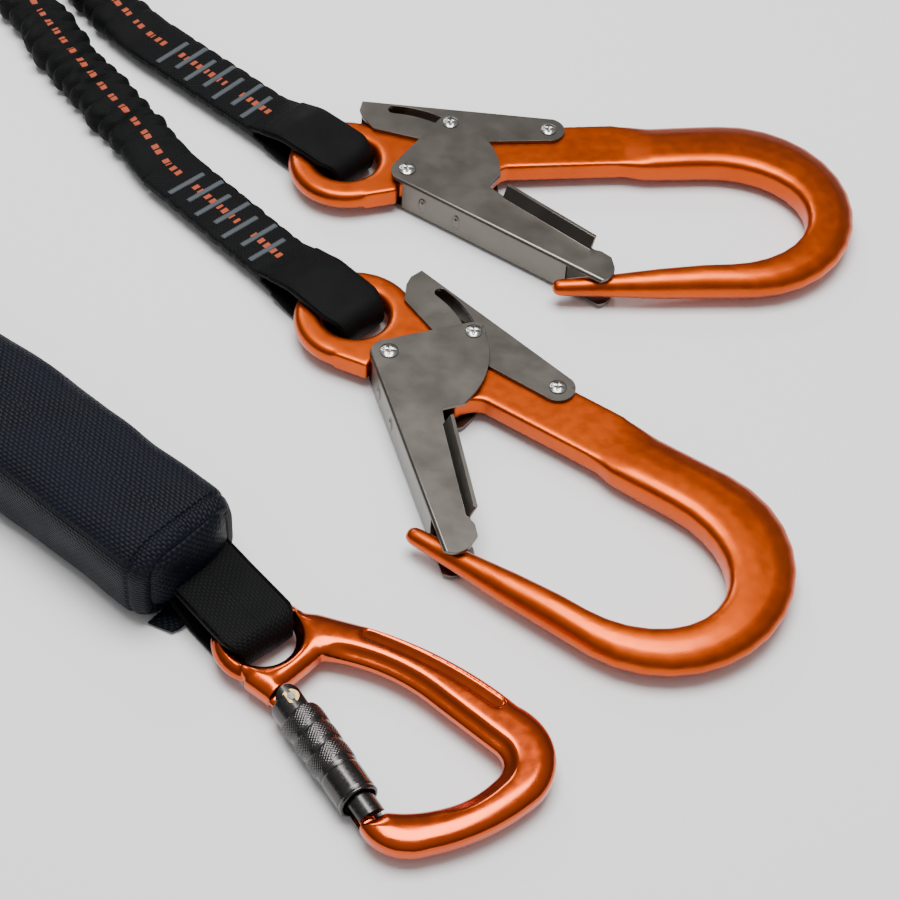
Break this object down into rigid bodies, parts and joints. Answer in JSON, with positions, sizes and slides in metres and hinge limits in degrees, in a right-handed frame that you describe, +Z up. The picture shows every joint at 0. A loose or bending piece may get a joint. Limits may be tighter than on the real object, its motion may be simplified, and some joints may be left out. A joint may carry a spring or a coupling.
{
  "type": "shock absorbing lanyard",
  "caption": "Twin-leg fall-arrest lanyard: absorber pouch, twist-lock carabiner and two elastic legs ending in large double-action scaffold hooks.",
  "frame": {"origin": "middle of the footprint of everything but the two elastic legs, on the surface the lanyard lies on", "axes": "+Z up from the surface; +X towards the hooks' bends; +Y towards the upper hook"},
  "size_m": [0.6405, 0.5852, 0.039],
  "materials": {
    "orange_anodised": "satin anodised aluminium",
    "orange_gloss": "glossy anodised aluminium",
    "brushed_steel": "brushed stainless steel",
    "bright_steel": "polished steel",
    "gunmetal": "dark plated steel",
    "brass": "satin brass",
    "spring_steel": "drawn spring wire",
    "black_webbing": "tight woven polyester",
    "elastic_webbing": "gathered elastic tube",
    "navy_nylon": "coarse woven nylon",
    "grey_thread": "thick sewing thread",
    "core_webbing": "folded tear webbing"
  },
  "bodies": {
    "lanyard": {"absorber_cover": "navy_nylon", "front_panel": "navy_nylon", "rear_panel": "navy_nylon", "front_hem": "navy_nylon", "tear_webbing": "core_webbing", "front_loop": "black_webbing", "root_strap_a": "black_webbing", "root_strap_b": "black_webbing", "eye_loop_a": "black_webbing", "wear_sleeve_a": "black_webbing", "sewn_strap_a": "black_webbing", "bar_tacks_a": "grey_thread", "elastic_leg_a": "elastic_webbing", "eye_loop_b": "black_webbing", "wear_sleeve_b": "black_webbing", "sewn_strap_b": "black_webbing", "bar_tacks_b": "grey_thread", "elastic_leg_b": "elastic_webbing"},
    "carabiner": {"carabiner_body": "orange_gloss", "hinge_rivet": "bright_steel"},
    "carabiner_gate": {"gate_barrel": "gunmetal", "hinge_washers": "brass", "latch_pin": "bright_steel", "gate_plunger": "bright_steel", "gate_return_spring": "spring_steel", "sleeve_spring": "spring_steel"},
    "sleeve_guide": {"sleeve_guide_ring": "bright_steel"},
    "locking_sleeve": {"locking_sleeve": "gunmetal"},
    "hook_a": {"hook_body_a": "orange_anodised", "gate_pivot_rivet_a": "bright_steel", "lever_pivot_rivet_a": "bright_steel", "spacer_washers_a": "bright_steel", "gate_spring_a": "spring_steel", "lever_spring_a": "spring_steel"},
    "gate_a": {"gate_channel_a": "brushed_steel", "guide_rivet_a": "bright_steel"},
    "lever_a": {"squeeze_lever_a": "brushed_steel"},
    "hook_b": {"hook_body_b": "orange_anodised", "gate_pivot_rivet_b": "bright_steel", "lever_pivot_rivet_b": "bright_steel", "spacer_washers_b": "bright_steel", "gate_spring_b": "spring_steel", "lever_spring_b": "spring_steel"},
    "gate_b": {"gate_channel_b": "brushed_steel", "guide_rivet_b": "bright_steel"},
    "lever_b": {"squeeze_lever_b": "brushed_steel"}
  },
  "joints": [
    {"name": "hook_a_swivel", "type": "hinge", "parent": "lanyard", "child": "hook_a", "pos_m": [0.03249, 0.13374, 0.0096], "axis": [0, 0, 1], "range_deg": [-4, 20]},
    {"name": "gate_a_hinge", "type": "hinge", "parent": "hook_a", "child": "gate_a", "pos_m": [0.06053, 0.12466, 0.0096], "axis": [0, 0, 1], "range_deg": [0, 38], "stiffness_Nm_per_rad": 0.12, "deforming": ["gate_spring_a"]},
    {"name": "lever_a_hinge", "type": "hinge", "parent": "hook_a", "child": "lever_a", "pos_m": [0.12347, 0.15958, 0.0096], "axis": [0, 0, 1], "range_deg": [0, 3.9], "stiffness_Nm_per_rad": 0.1, "deforming": ["lever_spring_a"]},
    {"name": "hook_b_swivel", "type": "hinge", "parent": "lanyard", "child": "hook_b", "pos_m": [0.044, 0.03649, 0.0096], "axis": [0, 0, 1], "range_deg": [-3, 5]},
    {"name": "gate_b_hinge", "type": "hinge", "parent": "hook_b", "child": "gate_b", "pos_m": [0.06003, 0.01176, 0.0096], "axis": [0, 0, 1], "range_deg": [0, 38], "stiffness_Nm_per_rad": 0.12, "deforming": ["gate_spring_b"]},
    {"name": "lever_b_hinge", "type": "hinge", "parent": "hook_b", "child": "lever_b", "pos_m": [0.1309, -0.00085, 0.0096], "axis": [0, 0, 1], "range_deg": [0, 3.9], "stiffness_Nm_per_rad": 0.1, "deforming": ["lever_spring_b"]},
    {"name": "carabiner_swivel", "type": "hinge", "parent": "lanyard", "child": "carabiner", "pos_m": [0.02242, -0.13453, 0.0085], "axis": [0, 0, 1], "range_deg": [-15, 2]},
    {"name": "carabiner_gate_hinge", "type": "hinge", "parent": "carabiner", "child": "carabiner_gate", "pos_m": [0.03572, -0.1626, 0.0085], "axis": [0, 0, 1], "range_deg": [0, 26], "stiffness_Nm_per_rad": 0.05},
    {"name": "sleeve_slide", "type": "slide", "parent": "carabiner_gate", "child": "sleeve_guide", "axis": [0.5793, -0.8151, 0], "range_m": [0, 0.0045], "stiffness_N_per_m": 150, "deforming": ["sleeve_spring"]},
    {"name": "sleeve_twist", "type": "hinge", "parent": "sleeve_guide", "child": "locking_sleeve", "pos_m": [0.03572, -0.1626, 0.0085], "axis": [0.5793, -0.8151, 0], "range_deg": [0, 90], "stiffness_Nm_per_rad": 0.01}
  ],
  "couplings": [
    {"joint": "lever_a_hinge", "follows": "gate_a_hinge", "ratio": 0.1},
    {"joint": "lever_b_hinge", "follows": "gate_b_hinge", "ratio": 0.1}
  ]
}
